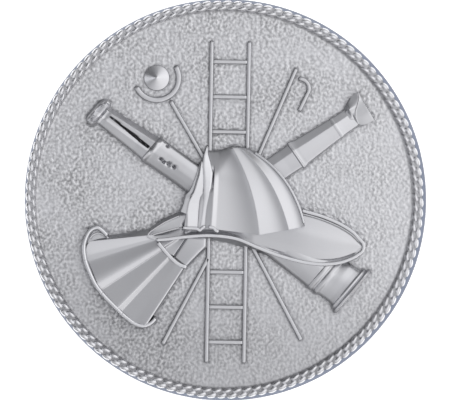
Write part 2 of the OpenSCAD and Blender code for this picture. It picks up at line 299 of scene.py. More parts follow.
def rounded(points, shares, steps=6, fill=3):
    """A line whose corners are rounded, each over its own share of the stretches beside it."""
    points = np.asarray(points, float)
    line = [points[0]]
    for before, corner, after, share in zip(points[:-2], points[1:-1], points[2:], shares):
        a, b = corner + (before - corner) * share / 2, corner + (after - corner) * share / 2
        line += [line[-1] * (1 - w) + a * w for w in np.linspace(0, 1, fill + 2)[1:-1]]
        line += [bend((a, corner, b), w) for w in np.linspace(0, 1, steps)]
    line += [line[-1] * (1 - w) + points[-1] * w for w in np.linspace(0, 1, fill + 2)[1:]]
    return np.array(line)


def along(points, count):
    """Points at even steps of length along a line, by straight interpolation."""
    points = np.asarray(points, float)
    steps = np.r_[0, np.cumsum(np.linalg.norm(np.diff(points, axis=0), axis=1))]
    wanted = np.linspace(0, steps[-1], count)
    return np.stack([np.interp(wanted, steps, column) for column in points.T], 1)


def loft(curves, shares, count=40):
    """Rows that lead from curve to curve, with each curve between rounded by its share."""
    table = np.array([along(curve, count) for curve in curves])
    return np.stack([rounded(table[:, k], shares) for k in range(count)], 1)


def ease(x):
    """0 to 1 with a level start and end."""
    x = np.clip(x, 0, 1)
    return x * x * (3 - 2 * x)


def turned(angle):
    return np.array([math.cos(math.radians(angle)), math.sin(math.radians(angle))])


# %% [markdown]
# ## Bars and beads
#
# Rails, rungs, poles, the open ring, the hook and the wired edges are all round-topped bars that
# follow a path. Geometry Nodes are made for this: a curve from the path, an oval section swept along
# it, and a radius that closes in a quarter circle at each end. A curve's own bevel would do too, but
# it cuts its ends square.


# %% The bar tree
def new_group(name, sizes):
    group = bpy.data.node_groups.new(name, "GeometryNodeTree")
    group.interface.new_socket("Geometry", in_out="INPUT", socket_type="NodeSocketGeometry")
    for label, kind in sizes.items():
        group.interface.new_socket(label, in_out="INPUT", socket_type=f"NodeSocket{kind}")
    group.interface.new_socket("Geometry", in_out="OUTPUT", socket_type="NodeSocketGeometry")
    tree = Tree(group)
    source = group.nodes.new("NodeGroupInput")
    return tree, {s.name: Wire(tree, s) for s in source.outputs if s.name}


def bar_tree():
    tree, given = new_group(
        "bar", {"Half width": "Float", "Height": "Float", "Step": "Float", "Material": "Material"}
    )
    path = tree.node("GeometryNodeMeshToCurve", values={"Mesh": given["Geometry"]})
    path = tree.node("GeometryNodeCurveSplineType", {"spline_type": "CATMULL_ROM"}, {"Curve": path})
    path = tree.node(
        "GeometryNodeResampleCurve", {"mode": "LENGTH"}, {"Curve": path, "Length": given["Step"]}
    )
    path = tree.node("GeometryNodeSetCurveNormal", {"mode": "Z_UP"}, {"Curve": path})
    here = tree.node("GeometryNodeSplineParameter", out="Length")
    whole = tree.node("GeometryNodeSplineLength", out="Length")
    end = tree.node("ShaderNodeMath", {"operation": "MINIMUM"}, {0: here, 1: whole - here})
    outer = 1 - remap(tree, end, (0.0, given["Half width"]), (0.0, 1.0))
    # A hair more than 1, so that the last section keeps some size
    radius = tree.node("ShaderNodeMath", {"operation": "SQRT"}, {0: 1.0001 - outer * outer})
    path = tree.node("GeometryNodeSetCurveRadius", values={"Curve": path, "Radius": radius})
    section = tree.node("GeometryNodeCurvePrimitiveQuadrilateral", values={"Width": 2.0, "Height": 2.0})
    section = tree.node(
        "GeometryNodeFilletCurve", {"mode": "POLY"}, {"Curve": section, "Count": 5, "Radius": 0.5}
    )
    scale = tree.node(
        "ShaderNodeCombineXYZ", values={"X": given["Half width"], "Y": given["Height"], "Z": 1.0}
    )
    section = tree.node("GeometryNodeTransform", values={"Geometry": section, "Scale": scale})
    skin = tree.node(
        "GeometryNodeCurveToMesh",
        values={"Curve": path, "Profile Curve": section, "Scale": radius, "Fill Caps": True},
    )
    skin = tree.node("GeometryNodeRealizeInstances", values={"Geometry": skin})
    skin = tree.node("GeometryNodeSetMaterial", values={"Geometry": skin, "Material": given["Material"]})
    tree.node("NodeGroupOutput", values={"Geometry": skin})
    return tree.node_tree


BAR = bar_tree()


# %% Evaluate a tree and keep the plain mesh
def grow(name, group, source, sizes):
    """Grow a mesh from a source mesh with a Geometry Nodes tree and the sizes for its inputs."""
    holder = bpy.data.objects.new("holder", source)
    scene.collection.objects.link(holder)
    modifier = holder.modifiers.new("nodes", "NODES")
    modifier.node_group = group
    for item in group.interface.items_tree:
        if item.in_out == "INPUT" and item.name in sizes:
            modifier[item.identifier] = sizes[item.name]
    graph = bpy.context.evaluated_depsgraph_get()
    mesh = bpy.data.meshes.new_from_object(holder.evaluated_get(graph), depsgraph=graph)
    bpy.data.objects.remove(holder)
    bpy.data.meshes.remove(source)
    mesh.name = name
    return mesh


def bars(name, paths, half_w, high, step=0.08, material=relief_silver):
    """One piece of bars, each along a path of points in millimetres above the field."""
    points = [(*p, 0.0)[:3] for path in paths for p in path]
    edges = []
    start = 0
    for path in paths:
        edges += [(start + i, start + i + 1) for i in range(len(path) - 1)]
        start += len(path)
    sizes = {"Half width": half_w, "Height": high, "Step": step, "Material": material}
    mesh = grow(name, BAR, new_mesh("path", points, edges=edges), sizes)
    return seat(name, mesh, material, smooth_angle=60)


# %% [markdown]
# ## Ladder
#
# The ladder is the tall middle piece of the emblem and leans a hair to the right. Each bar could be a
# bevelled box, but the struck ones have round tops and ends, so the bar tree sweeps them all. Rungs
# repeat at one pitch, so their paths come from a loop. They lie a little lower than the rails.


# %% Ladder
LADDER_MID = np.array([0.15, -0.13])
LADDER_LEAN = 1.0
LADDER_W, LADDER_L, RUNG_PITCH, RUNGS = 2.36, 20.4, 2.21, 9
BAR_W, BAR_H = 0.28, 0.34
RUNG_H = 0.85 * BAR_H

up, across = turned(90 - LADDER_LEAN), turned(-LADDER_LEAN)
rails = [
    [LADDER_MID + across * side * LADDER_W / 2 + up * end * LADDER_L / 2 for end in (-1, 1)]
    for side in (-1, 1)
]
rungs = [
    [
        LADDER_MID + up * (i - (RUNGS - 1) / 2) * RUNG_PITCH + across * side * LADDER_W / 2
        for side in (-1, 1)
    ]
    for i in range(RUNGS)
]
bars("ladder_rails", rails, BAR_W / 2, BAR_H)
bars("ladder_rungs", rungs, BAR_W / 2, RUNG_H)

# %% [markdown]
# ## Poles, ring and hook
#
# Both poles have a slight bend that the helmet hides. The left one carries an open ring with a boss
# in it, the right one a hook that lies beside it. They are bars too, so a few measured points are all
# they need, and an arc comes from its middle, radius and two angles. The lower half of the right pole
# starts at the ladder's left rail, because the real die has nothing between that rail and the brim.

# %% Poles
RING_POLE = [(-3.5, 6.3), (0.15, 0), (4.8, -8.9)]
HOOK_POLE = [(4.5, 8.35), (0.87, 0), (-4, -9.15)]
HOOK_POLE_EXIT = (-1.04, -3.58)
bars("ring_pole", [RING_POLE[:2], RING_POLE[1:]], BAR_W / 2, BAR_H)
bars("hook_pole", [HOOK_POLE[:2], [HOOK_POLE_EXIT, HOOK_POLE[2]]], BAR_W / 2, BAR_H)

# %% Open ring and hook
RING_MID, RING_R, RING_FROM, RING_TO = np.array([-4.34, 7.7]), 1.4, 200, 395
RING_W = 1.3 * BAR_W
HOOK_MID, HOOK_R, HOOK_FROM, HOOK_TO = np.array([4.66, 7.02]), 0.62, 100, -38
HOOK_TIP = (4.62, 5.55)


def arc(mid, radius, start, end, count):
    """Points on an arc from one angle to another, in degrees."""
    return [mid + radius * turned(a) for a in np.linspace(start, end, count)]


bars("open_ring", [arc(RING_MID, RING_R, RING_FROM, RING_TO, 40)], RING_W / 2, BAR_H)
bars("hook", [[*arc(HOOK_MID, HOOK_R, HOOK_FROM, HOOK_TO, 20), HOOK_TIP]], BAR_W / 2, BAR_H)

# %% [markdown]
# ## Boss
#
# The boss is a low cone that was turned in the die, so fine rings run round it. They catch the light
# on two opposite wedges, as on the end of a turned bar. A bump could draw the rings, but the wedges
# come right only if the cone under them does, so one formula gives both and is spun round the middle.

# %% Boss
BOSS_R, BOSS_H, BOSS_RINGS = 0.82, 0.62, 11
# How far the cone falls from middle to edge, how deep a ring is, and where the edge turns down
BOSS_FALL, RING_DEPTH, BOSS_EDGE = 0.72, 0.0006, 0.96


def boss():
    sectors, steps = 72, 90
    share = np.linspace(0.0, 1.0, steps)
    cone = BOSS_H * (1 - BOSS_FALL * share)
    rings = RING_DEPTH * np.cos(share * BOSS_RINGS * 2 * math.pi) * ease(share * 6)
    edge = cone * (1 - 0.8 * ease((share - BOSS_EDGE) / (1 - BOSS_EDGE)))
    high = np.where(share < BOSS_EDGE, cone + rings, edge)

    def circle(radius, level):
        return [(*(RING_MID + radius * turned(360 * a / sectors)), level) for a in range(sectors)]

    points, faces = [(*RING_MID, high[0])], []
    for k in range(1, steps):
        points += circle(BOSS_R * share[k], high[k])
    points += circle(BOSS_R, SINK)

    def at(k, a):
        return 1 + (k - 1) * sectors + a % sectors

    faces += [(0, at(1, a), at(1, a + 1)) for a in range(sectors)]
    faces += [
        (at(k, a), at(k + 1, a), at(k + 1, a + 1), at(k, a + 1))
        for k in range(1, steps)
        for a in range(sectors)
    ]
    faces.append([at(steps, a) for a in range(sectors)][::-1])
    return seat("boss", new_mesh("boss", points, faces), highlight_silver, smooth_angle=60)


boss()

# %% [markdown]
# ## Play pipe and trumpet
#
# Both are half tubes with collars. A bevelled curve has one section all along, but the real tubes
# aren't round: they have one broad face to the light and one away from it, and these change on the
# way. So a table gives the distance along the axis, half the width and the height of each ring, and a
# second, shorter table gives the section at a few places.

# %% Tables of the tubes
PIPE_START, PIPE_TURN, PIPE_LEAN, PIPE_H = np.array([-7.92, 5.49]), -35.3, -5, 0.75
PIPE_ROWS = [
    (-0.55, 0.62, 0.55), (-0.38, 0.92, 0.95), (-0.1, 1.02, 1.1), (0.12, 0.98, 1.1),
    (0.32, 0.62, 0.8), (0.7, 0.67, 0.95), (3.85, 0.87, 1.05), (3.95, 0.97, 1.3), (4.15, 0.99, 1.34),
    (4.25, 0.95, 1.22), (7.2, 0.92, 1.3), (13.8, 1.28, 1.3), (17.1, 1.4, 1.3),
    (17.15, 1.49, 1.4), (17.4, 1.49, 1.4), (17.45, 1.4, 1.3), (17.55, 1.4, 1.3),
    (17.6, 1.49, 1.4), (17.85, 1.49, 1.4), (17.9, 1.38, 1.3), (19.05, 1.4, 1.3),
    (19.12, 1.62, 1.42), (19.24, 1.66, 1.42), (19.3, 1.6, 1.32), (19.38, 1.76, 1.52),
    (19.46, 1.8, 1.58), (19.6, 1.72, 1.4),
]
TRUMPET_START, TRUMPET_TURN, TRUMPET_H = np.array([8.68, 5.68]), 214.3, 0.75
TRUMPET_ROWS = [
    (0.8, 0.66, 0.8), (1.9, 0.68, 0.96), (1.98, 0.73, 1.0), (2.1, 0.74, 1.0), (2.18, 0.7, 0.97),
    (4.7, 0.86, 1.1), (4.9, 0.94, 1.1), (5.02, 0.97, 1.12), (5.07, 0.98, 1.19), (5.16, 0.97, 1.19),
    (5.22, 0.84, 1.03), (8, 0.86, 1.05),
]
# Sections from one edge to the other: share of half the width, share of the height, rounding
NOZZLE_SECTION = [
    (-1, 0, 0), (-0.98, 0.82, 0.6), (-0.28, 1, 0.2), (-0.03, 0.92, 0.2), (0.12, 0.92, 0.3),
    (0.58, 0.98, 0.2), (0.98, 0.5, 0.1), (1, 0, 0),
]
ROOF_SECTION = [
    (-1, 0, 0), (-0.98, 0.55, 0.8), (-0.5, 0.8, 0.5), (-0.08, 0.98, 0.3), (0.04, 0.99, 0.5), (0.5, 0.97, 0.6),
    (0.96, 0.84, 0.8), (1, 0, 0),
]
ROUND_SECTION = [
    (-1, 0, 0), (-0.97, 0.55, 0.7), (-0.7, 0.74, 0.9), (-0.4, 0.9, 0.9), (0.05, 1, 0.9), (0.5, 0.93, 0.9),
    (0.96, 0.64, 0.8), (1, 0, 0),
]
HIDDEN_SECTION = [
    (-1, 0, 0), (-0.97, 0.55, 0.7), (-0.7, 0.74, 0.9), (-0.4, 0.9, 0.9), (0.05, 0.96, 0.9), (0.45, 0.8, 0.9),
    (0.96, 0.4, 0.8), (1, 0, 0),
]
TRUMPET_SECTION = [
    (-1, 0, 0), (-0.97, 0.74, 0.1), (-0.36, 0.98, 0.25), (-0.16, 0.97, 0.6), (0.4, 0.93, 0.8),
    (0.96, 0.92, 0.5), (1, 0, 0),
]


# %% A tube from its tables
TUBE_ROWS = 300
# No dent goes lower than this
DENT_FLOOR = 0.12


def tube(name, start, turn, lean, high, table, sections, dent=None):
    """Rings along an axis, with a section that changes between the places given with each one."""
    rings = along(soften(table, 1), TUBE_ROWS)
    shapes = []
    for _, section in sections:
        line = np.array(section, float)
        shapes.append(rounded(line[:, :2], line[1:-1, 2]))
    shapes = np.array(shapes)
    at = np.interp(rings[:, 0], [place for place, _ in sections], range(len(sections)))
    before = np.minimum(at.astype(int), len(sections) - 2) if len(sections) > 1 else at.astype(int)
    after = np.minimum(before + 1, len(sections) - 1)
    share = ease(at - before)[:, None, None]
    profile = shapes[before] * (1 - share) + shapes[after] * share
    forward, side = turned(turn), turned(turn + lean + 90)
    place = rings[:, :1] * np.ones(profile.shape[1])
    over = rings[:, 1:2] * profile[..., 0]
    up_by = high * rings[:, 2:3] * profile[..., 1]
    if dent:
        up_by = np.maximum(up_by - dent(place, over), np.minimum(up_by, DENT_FLOOR))
    flat = start + place[..., None] * forward + over[..., None] * side
    return form(name, np.dstack([flat, up_by]))


# %% Lip, slit and casting flaws of the play pipe
LIP_DEPTH, SLIT_DEPTH, PIT_DEPTH = 0.32, 0.6, 0.35
# The lip's half sizes along and across the pipe, and how far its middle is off the axis
LIP_LONG, LIP_WIDE, LIP_OFF = 0.28, 0.82, 0.04
SLIT_FROM, SLIT_TO = 0.62, 3.8
# The slit's middle and half width, each after the places along the pipe that they belong to
SLIT_MID = (0.75, 3.6), (0.17, 0.02)
SLIT_HALF_W = (0.9, 1.8, 2.6), (0.06, 0.07, 0.1)
# Casting flaws: place along the pipe, distance across it, size
PIPE_PITS = [
    (4.85, -0.15, 0.08), (5.12, -0.2, 0.07), (5.42, -0.12, 0.12), (5.8, -0.08, 0.1), (4.65, 0.76, 0.07),
]


def pipe_dents(place, over):
    """The hollow lip, the black slit that opens towards the collar, and a few casting flaws."""
    round_lip = (place / LIP_LONG) ** 2 + ((over - LIP_OFF) / LIP_WIDE) ** 2
    lip = LIP_DEPTH * ease((1 - round_lip) / 0.4)
    off = np.abs(over - np.interp(place, *SLIT_MID)) / np.interp(place, *SLIT_HALF_W)
    inside = ease((place - SLIT_FROM) / 0.15) * ease((SLIT_TO - place) / 0.1)
    dents = lip + SLIT_DEPTH * inside * np.clip(1.0 - off, 0, 1)
    for x, y, size in PIPE_PITS:
        dents += PIT_DEPTH * np.exp(-((np.hypot(place - x, over - y) / size) ** 2))
    return dents


tube(
    "play_pipe", PIPE_START, PIPE_TURN, PIPE_LEAN, PIPE_H, PIPE_ROWS,
    [
        (3.9, NOZZLE_SECTION), (4.2, ROOF_SECTION), (13, ROOF_SECTION), (16.8, HIDDEN_SECTION),
        (17.7, HIDDEN_SECTION), (18.4, ROUND_SECTION),
    ],
    pipe_dents,
)
tube("trumpet_tube", TRUMPET_START, TRUMPET_TURN, 0, TRUMPET_H, TRUMPET_ROWS, [(0, TRUMPET_SECTION)])

# %% Cup of the trumpet
# The end of the tube, the near rim, the inside below it, the hollow and the far rim: x, y and height
CUP_CURVES = [
    [(7.4, 5.66, 0.2), (7.52, 5.5, 0.56), (7.85, 5.1, 0.64), (8.1, 4.8, 0.4)],
    [(7.5, 5.84, 0.3), (7.66, 5.6, 0.66), (7.96, 5.2, 0.66), (8.2, 4.86, 0.48)],
    [(7.8, 6.4, 0.64), (7.63, 6.0, 0.72), (7.78, 5.68, 0.92), (7.98, 5.38, 0.7), (8.24, 4.84, 0.5)],
    [
        (8.28, 6.8, 0.62), (8.36, 6.4, 0.76), (8.24, 5.95, 0.84), (8.13, 5.6, 0.76),
        (8.12, 5.25, 0.74), (8.32, 4.79, 0.54),
    ],
    [
        (8.33, 6.78, 0.52), (8.42, 6.38, 0.6), (8.31, 5.94, 0.58), (8.2, 5.58, 0.56),
        (8.19, 5.24, 0.54), (8.38, 4.77, 0.46),
    ],
    [(8.36, 6.77, 0.5), (8.58, 6.2, 0.59), (8.66, 5.6, 0.6), (8.72, 5.2, 0.57), (8.8, 4.71, 0.49)],
    [(8.38, 6.76, 0.5), (8.7, 6.14, 0.6), (9.04, 5.6, 0.63), (9.38, 5.04, 0.53)],
    [(8.4, 6.75, 0.2), (8.74, 6.15, 0.3), (9.08, 5.61, 0.3), (9.42, 5.05, 0.2)],
]
form("trumpet_cup", loft(CUP_CURVES, (0.5, 0.4, 0.1, 0.3, 0.9, 0.3)))

# %% Neck of the trumpet, between the brim and the bell
# Each curve leads from under the brim to the neck of the bell: x, y and height
NECK_CURVES = [
    [(-2.6, -1.3, 0.35), (-3.6, -1.65, 0.35), (-4.6, -2.0, 0.35)],
    [(-2.5, -1.4, 0.4), (-3.5, -1.8, 0.4), (-4.5, -2.2, 0.6)],
    [(-2.05, -1.75, 0.42), (-2.97, -2.35, 0.82), (-4.05, -3.05, 0.9)],
    [(-1.95, -1.85, 0.42), (-2.71, -2.35, 0.72), (-3.95, -3.16, 0.76)],
    [(-2.2, -1.9, 0.42), (-2.5, -2.35, 0.78), (-3.28, -3.5, 0.84)],
    [(-2.14, -1.95, 0.4), (-2.41, -2.35, 0.66), (-3.22, -3.55, 0.68)],
    [(-2.08, -1.98, 0.42), (-2.33, -2.35, 0.78), (-3.16, -3.6, 0.82)],
    [
        (-1.2, -1.98, 0.42), (-1.22, -2.4, 0.8), (-1.24, -2.92, 0.88), (-1.74, -3.4, 0.92),
        (-2.45, -4.15, 0.96),
    ],
    [
        (-1.12, -2.0, 0.3), (-1.14, -2.42, 0.3), (-1.16, -2.98, 0.3), (-1.66, -3.48, 0.3),
        (-2.36, -4.24, 0.3),
    ],
]
form("trumpet_neck", loft(NECK_CURVES, (0.3, 0.3, 0.4, 0.2, 0.1, 0.2, 0.3)))

# %% [markdown]
# ## Bell
#
# The bell is fluted like a shell. A spun profile with waves would make its flutes alike, but the real
# ones differ, so each line is given by itself. It runs straight from the neck to the rim, and is an
# edge, a crest or a valley. A short steep face follows each valley and then a broad one, so a flute
# has a soft top and a sharp foot. How much a line is rounded is its last number.

# %% Bell
# Neck x, y and height, rim x, y and height, and how much the line is rounded
BELL_LINES = [
    (-4.6, -1.8, 0.3, -7.75, -2.3, 0.2, 0),
    (-4.6, -1.86, 0.62, -7.85, -2.4, 0.66, 0.1),
    (-4.55, -2.2, 0.86, -8.5, -2.6, 0.88, 0.2),
    (-4.5, -2.26, 0.85, -8.75, -2.85, 0.84, 0.9),
    (-4.36, -2.36, 0.78, -8.78, -3.5, 0.66, 0.4),
    (-4.28, -2.5, 0.78, -8.62, -3.9, 0.66, 0.3),
    (-4.06, -2.9, 0.97, -8.1, -5.18, 1.1, 0.7),
    (-3.98, -3.1, 0.94, -7.86, -5.62, 0.94, 0.1),
    (-3.94, -3.16, 0.88, -7.8, -5.7, 0.88, 0.1),
    (-3.62, -3.6, 1.03, -6.78, -6.78, 1.2, 0.3),
    (-3.54, -3.7, 0.96, -6.62, -6.94, 1.08, 0.1),
    (-3.5, -3.74, 0.92, -6.54, -7.02, 1.02, 0.1),
    (-3.1, -4.04, 1.03, -5.75, -7.7, 1.2, 0.3),
    (-2.72, -4.3, 1.11, -5.05, -7.84, 1.32, 0.3),
    (-2.66, -4.33, 1.08, -4.9, -7.76, 1.28, 0.02),
    (-2.6, -4.38, 0.3, -4.72, -7.62, 0.2, 0),
]
bell_lines = np.array(BELL_LINES)
form("bell", loft(bell_lines[:, :6].reshape(-1, 2, 3), bell_lines[1:-1, 6]))

# The corner inside the curl of the rim
CURL = [(-8.6, -2.3), (-8.35, -1.95), (-8.0, -1.85), (-7.65, -2.05), (-7.45, -2.3)]
CURL_FOOT = [(-8.7, -2.75), (-7.4, -2.45)]
CURL_LEVELS = [(CURL, 0.3), (CURL, 0.66), (CURL_FOOT, 0.72), (CURL_FOOT, 0.3)]
form("bell_curl", loft([[(*p, z) for p in line] for line, z in CURL_LEVELS], (0.2, 0.2)))

# %% Beads at the neck and the rim of the bell
NECK_PATH = [(-4.3, -2.62), (-4.0, -3.0), (-3.66, -3.4), (-3.3, -3.78), (-2.9, -4.08), (-2.4, -4.24)]
RIM_PATH = [
    (-7.48, -2.21), (-8.01, -1.75), (-8.53, -1.94), (-8.85, -2.57), (-8.92, -3.16), (-8.83, -3.77),
    (-8.69, -4.21), (-8.22, -5.26), (-7.79, -5.85), (-7.48, -6.2), (-6.53, -7.15), (-5.79, -7.73),
    (-5.16, -7.91), (-4.69, -7.73), (-4.43, -7.46),
]
INNER_CURL = [(-8.55, -2.45), (-8.39, -2.24), (-8.03, -2.08), (-7.6, -2.24), (-7.35, -2.42)]


def past_ends(path, more):
    """The path with both ends drawn out a little."""
    path = [np.array(p) for p in path]
    a, b = path[0] - path[1], path[-1] - path[-2]
    return [path[0] + a * more / np.linalg.norm(a), *path[1:-1], path[-1] + b * more / np.linalg.norm(b)]


neck = [(*p, 0.88) for p in NECK_PATH]
bars("neck_bead", [neck], half_w=0.13, high=0.16, material=highlight_silver)
# The rim turns sharply at these points of its path, so its stretches are swept apart and overlap
RIM_BREAKS, RIM_OVERLAP = [(0, 5), (5, 8), (8, 10), (10, 14)], 0.15
rim = [past_ends(RIM_PATH[first : last + 1], RIM_OVERLAP) for first, last in RIM_BREAKS]
bars("rim_bead", rim, half_w=0.16, high=1.2, step=0.05, material=highlight_silver)
bars("inner_curl", [[(*p, 0.6) for p in INNER_CURL]], half_w=0.07, high=0.2, step=0.05)

# %% [markdown]
# ## Helmet
#
# The helmet has a ribbed crown, a front piece at its left with a finial above it, and a brim with a
# wired edge. A subdivision surface would be quicker but blurs the crests, so all are rows of sections.
# Each rib's crest line bends from the top of the crown to its base. Between two crests lies a panel
# that falls gently away from the left one and turns up late to the right one, so it takes one even
# tone with a bright line at its end. The first rib has steps of its own, since a narrow valley and a
# dark pit part it from the front piece.

# %% Crown
# Three points of each crest line, from the top of the crown to its base: x, y, height above the field
CROWN_RIBS = [
    [(-0.66, 3.0, 0.84), (-0.66, 1.3, 1.52), (-0.91, -1.85, 1.35)],
    [(0.42, 3.3, 1.0), (1.85, 0.9, 1.72), (2.12, -2.2, 1.46)],
    [(0.9, 3.28, 1.0), (3.1, 1.6, 1.68), (3.98, -1.88, 1.44)],
    [(1.4, 3.12, 0.95), (4.15, 1.6, 1.5), (4.88, -1.68, 1.34)],
]
# Each panel's slope off its left crest, and how late it turns up to the next one
CHANNELS = [(0.15, 3), (0.155, 5), (0.125, 5)]
# Steps from the first crest: across, and how much lower; the last one is the valley right of it
FIRST_RIB = [
    (-0.9, 0.9), (-0.86, 0.13), (-0.4, 0.12), (-0.1, 0.015), (-0.02, 0.0), (0.03, 0.0), (0.26, 0.08),
]
FIRST_ROUND = (0.2, 0.5, 0.3, 0.5, 0.5)
# The step that the dark pit deepens, its depth, and its ends as shares of the way down
PIT_STEP, PIT_H, PIT_FROM, PIT_TO = 3, 0.16, 0.22, 0.6
# Where the steps begin to show, how long that takes, and how narrow they are above
STEPS_FROM, STEPS_OVER, NARROW = 0.28, 0.17, 0.72
CROWN_ROWS, PANEL_STEPS = 90, 36
# From the last crest to the crown's back edge, and across to its foot, which has a height of its own
BACK_EDGE, BACK_FOOT = (0.09, 0.05, -0.12), (0.14, 0.08, 0.4)
# The upper left of the crown falls away behind this line: a point on it and the way down
SHOULDER = np.array([(0.35, 2.97), (-0.849, 0.53)])
SHOULDER_SLOPE, SHOULDER_ROUND = 0.2, 0.02
CROWN_FLOOR = 0.35


def first_steps(t):
    """The steps beside the first crest, at a share of the way from its top to its base."""
    shown = ease((t - STEPS_FROM) / STEPS_OVER)
    width = NARROW + (1 - NARROW) * shown
    steps = [
        (across * width if across < 0 else across, lower if lower > 0.5 else lower * shown)
        for across, lower in FIRST_RIB
    ]
    across, lower = steps[PIT_STEP]
    pit = PIT_H * ease((t - PIT_FROM) / 0.1) * ease((PIT_TO - t) / 0.15)
    steps[PIT_STEP] = (across, lower + pit)
    return steps


def crown():
    rows = []
    for t in np.linspace(0, 1, CROWN_ROWS):
        ribs = [bend(rib, t) for rib in CROWN_RIBS]
        first, last = ribs[0], ribs[-1]
        steps = first_steps(t)
        line = rounded(steps, FIRST_ROUND)
        row = [(first[0] + across, first[1], first[2] - lower) for across, lower in line[:-1]]
        ribs[0] = first + (steps[-1][0], 0, -steps[-1][1])
        for a, b, (slope, late) in zip(ribs[:-1], ribs[1:], CHANNELS):
            fall = slope * np.linalg.norm((b - a)[:2])
            for w in np.linspace(0, 1, PANEL_STEPS, endpoint=False):
                row.append(a * (1 - w) + b * w - (0, 0, fall * (w - w**late)))
        row += [last, last + BACK_EDGE, (*(last + BACK_FOOT)[:2], BACK_FOOT[2])]
        rows.append(row)
    rows = np.array(rows)
    past = (rows[..., :2] - SHOULDER[0]) @ SHOULDER[1]
    rows[..., 2] -= SHOULDER_SLOPE * (past + np.sqrt(past**2 + SHOULDER_ROUND)) / 2
    rows[..., 2] = np.maximum(rows[..., 2], CROWN_FLOOR)
    lip = rows[0] + (0, 0.11, -0.12)
    return form("crown", [lip, *rows], smooth_angle=50)


crown()

# %% Front piece
# y, then x of the left edge, of the groove beside it and of the right edge of the lit plate
FRONT_ROWS = [
    (2.4, -1.62, -1.56, -1.46), (1.58, -1.89, -1.7, -1.42), (0.82, -2.18, -1.92, -1.39),
    (0.5, -2.37, -2.03, -1.43), (0.32, -2.59, -2.13, -1.45), (-0.19, -2.68, -2.34, -1.53),
    (-0.73, -2.9, -2.44, -1.62), (-0.88, -2.51, -2.44, -1.64), (-1.26, -2.58, -2.43, -1.67),
    (-1.84, -2.66, -2.46, -1.72),
]
# The lit plate's height and slope, and the two narrow steps of its right edge: across and height
PLATE_H, PLATE_SLOPE, PLATE_EDGE = 1.32, 0.23, [(0.03, 1.08), (0.05, 0.8)]
PLATE_ROUND = (0.3, 0.3, 0.3, 0.2, 0.2)
# Left foot, left rim with its narrow bevel, right rim and right foot of the finial: x, y and height
FINIAL_CURVES = [
    [
        (-1.17, 3.42, 0.3), (-1.42, 2.84, 0.5), (-1.56, 2.21, 0.6), (-1.53, 1.58, 0.7),
        (-1.47, 1.14, 0.8), (-1.44, 0.2, 0.8), (-1.55, -0.9, 0.8), (-1.68, -1.84, 0.8),
    ],
    [
        (-1.15, 3.4, 0.86), (-1.36, 2.84, 1.1), (-1.48, 2.21, 1.19), (-1.45, 1.58, 1.25),
        (-1.41, 1.14, 1.26), (-1.38, 0.2, 1.27), (-1.5, -0.9, 1.27), (-1.63, -1.84, 1.25),
    ],
    [
        (-1.13, 3.39, 0.84), (-1.26, 2.84, 1.1), (-1.33, 2.21, 1.21), (-1.28, 1.58, 1.275),
        (-1.25, 1.14, 1.28), (-1.26, 0.2, 1.285), (-1.42, -0.9, 1.28), (-1.55, -1.84, 1.255),
    ],
    [
        (-1.11, 3.38, 0.82), (-1.08, 2.84, 1.06), (-0.9, 2.21, 1.15), (-0.79, 1.7, 1.22),
        (-0.84, 1.14, 1.25), (-1.02, 0.2, 1.275), (-1.2, -0.9, 1.26), (-1.33, -1.84, 1.24),
    ],
    [
        (-1.08, 3.36, 0.3), (-1.02, 2.84, 0.5), (-0.84, 2.21, 0.6), (-0.73, 1.7, 0.7),
        (-0.78, 1.14, 0.8), (-0.94, 0.2, 0.8), (-1.12, -0.9, 0.8), (-1.25, -1.84, 0.8),
    ],
]


def front_piece():
    rows = []
    for y, left, groove, right in along(FRONT_ROWS, 120):
        # The plate sinks a little towards its top, and its left edge lies a step lower there
        top = PLATE_H - 0.1 * ease((y - 1.1) / 1.4)
        step = 0.02 + 0.12 * ease(y / 0.5)
        lit = groove + 0.06
        section = [
            (left, 0.4), (left + 0.04, top - 0.01 - step), (groove - 0.04, top - step), (lit, top),
            (right, top - PLATE_SLOPE * (right - lit)), *[(right + x, z) for x, z in PLATE_EDGE],
        ]
        rows.append([(x, y, z) for x, z in rounded(section, PLATE_ROUND)])
    return form("front_piece", rows)


front_piece()

# %% Finial
form("finial", loft(FINIAL_CURVES, (0.5, 0.5, 0.4)), highlight_silver)

# %% Bead down the back of the crown
back = [tuple(bend(CROWN_RIBS[-1], t) + (0.09, 0.05, -0.09)) for t in np.linspace(0.06, 0.98, 30)]
bars("crown_bead", [back], half_w=0.08, high=0.13, step=0.05, material=highlight_silver)

# %% Scalloped lip at the foot of the front piece
LIP = [
    [
        (-2.72, -1.74), (-2.3, -1.77), (-1.86, -1.79), (-1.72, -1.86), (-1.6, -1.9), (-1.5, -1.8),
        (-1.4, -1.71), (-1.24, -1.68),
    ],
    [(-1.12, -1.7), (-0.9, -1.71), (-0.74, -1.78), (-0.62, -1.92), (-0.4, -1.99)],
]
lip_paths = [[(*p, 1.28) for p in path] for path in LIP]
bars("lip", lip_paths, half_w=0.1, high=0.14, step=0.04, material=highlight_silver)

# %% Brim
BRIM_H = 0.95
